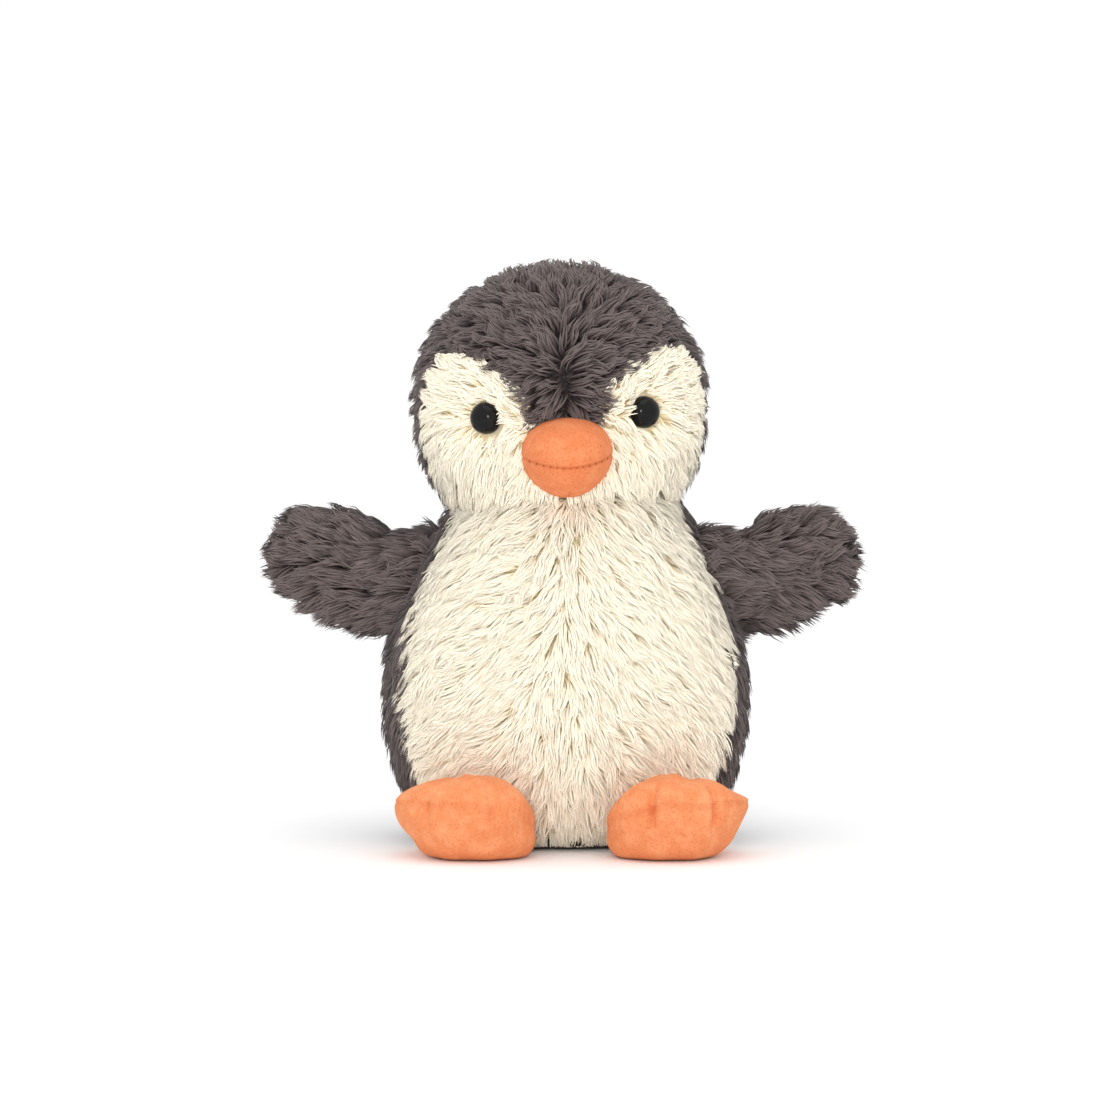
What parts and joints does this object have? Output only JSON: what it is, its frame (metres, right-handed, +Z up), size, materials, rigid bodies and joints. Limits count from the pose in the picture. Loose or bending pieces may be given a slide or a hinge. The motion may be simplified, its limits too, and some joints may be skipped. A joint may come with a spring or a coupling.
{
  "type": "plush penguin",
  "caption": "Soft sitting penguin toy with a round pear-shaped body, a ball-jointed head, flappable wings, a stub beak and splayed padded feet.",
  "frame": {"origin": "middle of the footprint on the surface that the toy sits on", "axes": "+Z up, the penguin faces -Y, its own left wing points to +X"},
  "size_m": [0.2334, 0.1388, 0.2224],
  "materials": {
    "grey_pile": "long soft pile, charcoal grey, matt",
    "ivory_pile": "long soft pile, ivory, matt",
    "orange_plush": "very short orange plush with a soft nap",
    "stuffing": "white polyester fibre filling",
    "eye_plastic": "polished black",
    "washer_plastic": "plain moulded",
    "pouch_cloth": "thin woven lining cloth",
    "pellets": "small smooth plastic beads",
    "thread": "sewing thread"
  },
  "bodies": {
    "torso": {"belly_left": "ivory_pile", "belly_right": "ivory_pile", "back_left": "grey_pile", "back_right": "grey_pile", "base_panel": "grey_pile", "body_stuffing": "stuffing", "pouch_upper": "pouch_cloth", "pouch_lower": "pouch_cloth", "pellet_fill": "pellets", "foot_thread_left": "thread", "foot_thread_right": "thread"},
    "neck": {"neck_thread": "thread"},
    "head": {"crown_left": "grey_pile", "crown_right": "grey_pile", "cheek_left": "ivory_pile", "cheek_right": "ivory_pile", "head_stuffing": "stuffing", "beak_upper": "orange_plush", "beak_lower": "orange_plush", "beak_stuffing": "stuffing", "eye_left": "eye_plastic", "eye_right": "eye_plastic", "eye_washer_left": "washer_plastic", "eye_washer_right": "washer_plastic"},
    "shoulder_left": {"wing_thread_left": "thread"},
    "wing_left": {"wing_front_left": "grey_pile", "wing_back_left": "grey_pile", "wing_stuffing_left": "stuffing"},
    "foot_left": {"foot_top_left": "orange_plush", "foot_sole_left": "orange_plush", "foot_stuffing_left": "stuffing"},
    "shoulder_right": {"wing_thread_right": "thread"},
    "wing_right": {"wing_front_right": "grey_pile", "wing_back_right": "grey_pile", "wing_stuffing_right": "stuffing"},
    "foot_right": {"foot_top_right": "orange_plush", "foot_sole_right": "orange_plush", "foot_stuffing_right": "stuffing"}
  },
  "joints": [
    {"name": "head_turn", "type": "hinge", "parent": "torso", "child": "neck", "pos_m": [0, 0.0115, 0.108], "axis": [0, 0, 1], "range_deg": [-40, 40], "stiffness_Nm_per_rad": 0.1},
    {"name": "head_nod", "type": "hinge", "parent": "neck", "child": "head", "pos_m": [0, 0.0115, 0.108], "axis": [0.9984, 0.0436, 0.0349], "range_deg": [-12, 15], "stiffness_Nm_per_rad": 0.4},
    {"name": "wing_left_swing", "type": "hinge", "parent": "torso", "child": "shoulder_left", "pos_m": [0.057, 0.0115, 0.1], "axis": [0, 0, -1], "range_deg": [-36, 45], "stiffness_Nm_per_rad": 0.03},
    {"name": "wing_left_flap", "type": "hinge", "parent": "shoulder_left", "child": "wing_left", "pos_m": [0.057, 0.0115, 0.1], "axis": [0, -1, 0], "range_deg": [-10, 25], "stiffness_Nm_per_rad": 0.06},
    {"name": "foot_left_lift", "type": "hinge", "parent": "torso", "child": "foot_left", "pos_m": [0.03143, -0.02184, 0.006], "axis": [-0.9063, -0.4226, 0], "range_deg": [-30, 4], "stiffness_Nm_per_rad": 0.06},
    {"name": "wing_right_swing", "type": "hinge", "parent": "torso", "child": "shoulder_right", "pos_m": [-0.057, 0.0115, 0.1], "axis": [0, 0, 1], "range_deg": [-36, 45], "stiffness_Nm_per_rad": 0.03},
    {"name": "wing_right_flap", "type": "hinge", "parent": "shoulder_right", "child": "wing_right", "pos_m": [-0.057, 0.0115, 0.1], "axis": [0, 1, 0], "range_deg": [-10, 25], "stiffness_Nm_per_rad": 0.06},
    {"name": "foot_right_lift", "type": "hinge", "parent": "torso", "child": "foot_right", "pos_m": [-0.02744, -0.02184, 0.006], "axis": [-0.9063, 0.4226, 0], "range_deg": [-30, 4], "stiffness_Nm_per_rad": 0.06}
  ]
}
